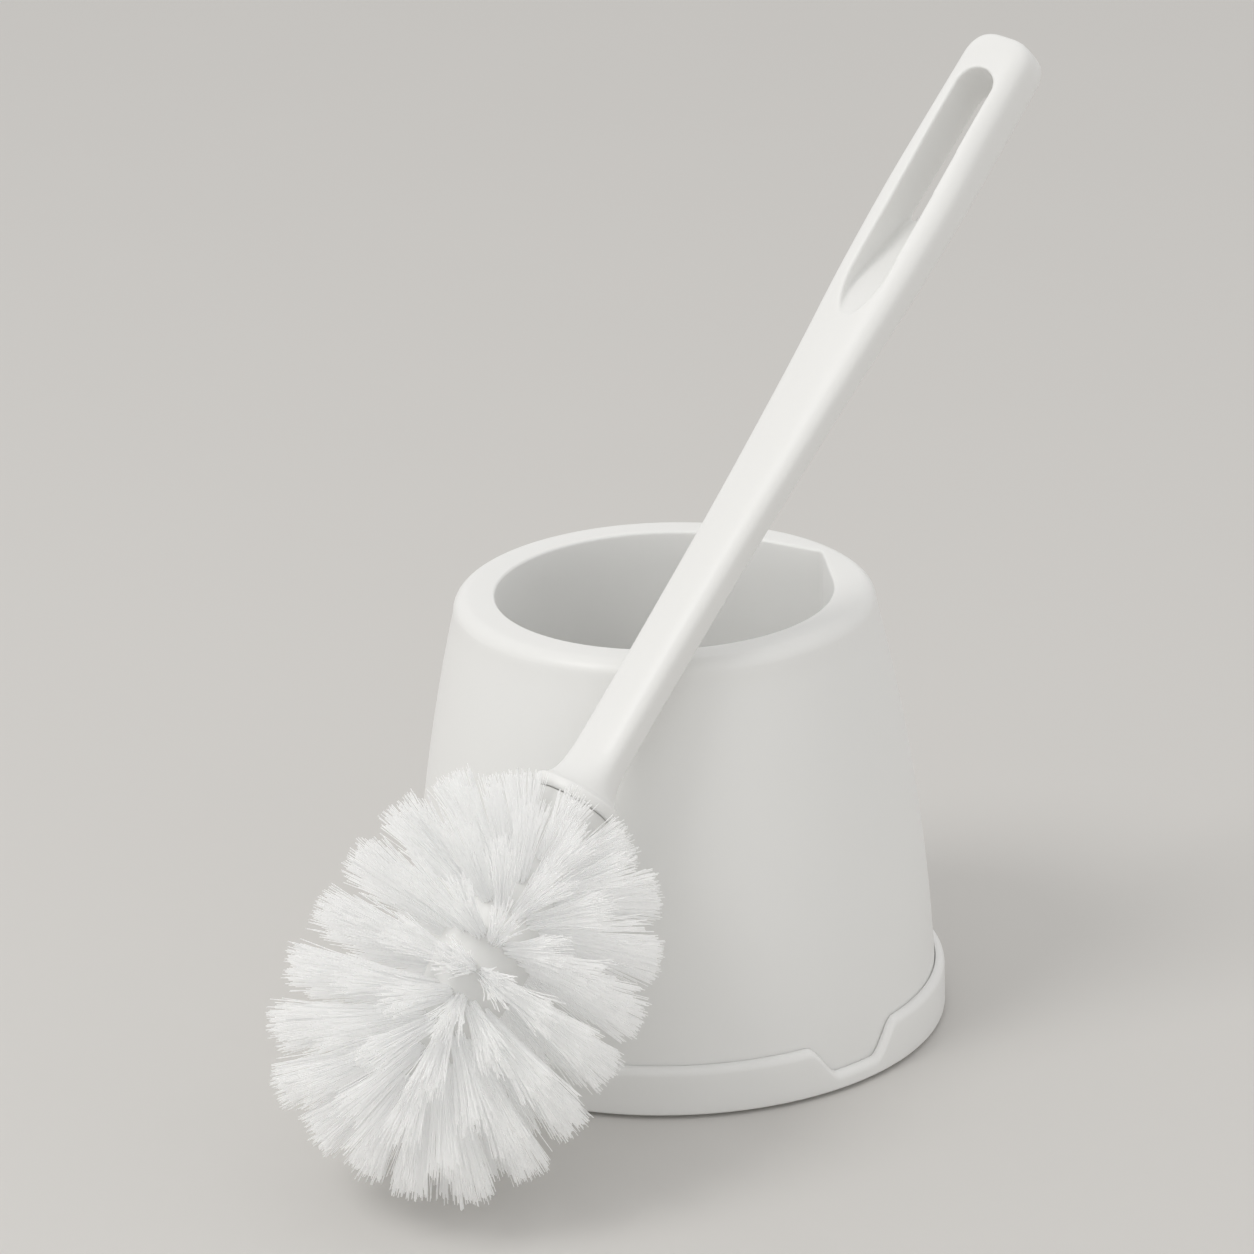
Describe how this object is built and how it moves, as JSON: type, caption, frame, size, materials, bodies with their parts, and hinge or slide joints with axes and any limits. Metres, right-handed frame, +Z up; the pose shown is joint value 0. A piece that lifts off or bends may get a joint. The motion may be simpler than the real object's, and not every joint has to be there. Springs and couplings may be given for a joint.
{
  "type": "toilet brush holder",
  "caption": "White toilet brush leaning on its round tapered holder: a flanged shell that stands in a base dish, and a slotted handle with a full bristle head.",
  "frame": {"origin": "centre of the base dish's underside, on the surface it stands on", "axes": "+Z up along the holder's axis, -Y towards the front, +X to the right seen from the front"},
  "size_m": [0.2121, 0.2349, 0.269],
  "materials": {
    "white_plastic": "white moulded polypropylene, satin",
    "white_bristle": "white nylon filaments, soft sheen"
  },
  "bodies": {
    "base": {"base_dish": "white_plastic"},
    "shell": {"holder_shell": "white_plastic"},
    "brush": {"handle": "white_plastic", "head_core": "white_plastic", "bristle_ring_01": "white_bristle", "bristle_ring_02": "white_bristle", "bristle_ring_03": "white_bristle", "bristle_ring_04": "white_bristle", "bristle_ring_05": "white_bristle", "bristle_ring_06": "white_bristle", "bristle_ring_07": "white_bristle", "bristle_ring_08": "white_bristle", "bristle_ring_09": "white_bristle", "bristle_end_tuft": "white_bristle"}
  },
  "joints": [
    {"name": "shell_lift", "type": "slide", "parent": "base", "child": "shell", "axis": [0, 0, 1], "range_m": [0, 0.13]},
    {"name": "brush_lift", "type": "slide", "parent": "shell", "child": "brush", "axis": [0, 0, 1], "range_m": [0, 0.25]}
  ]
}
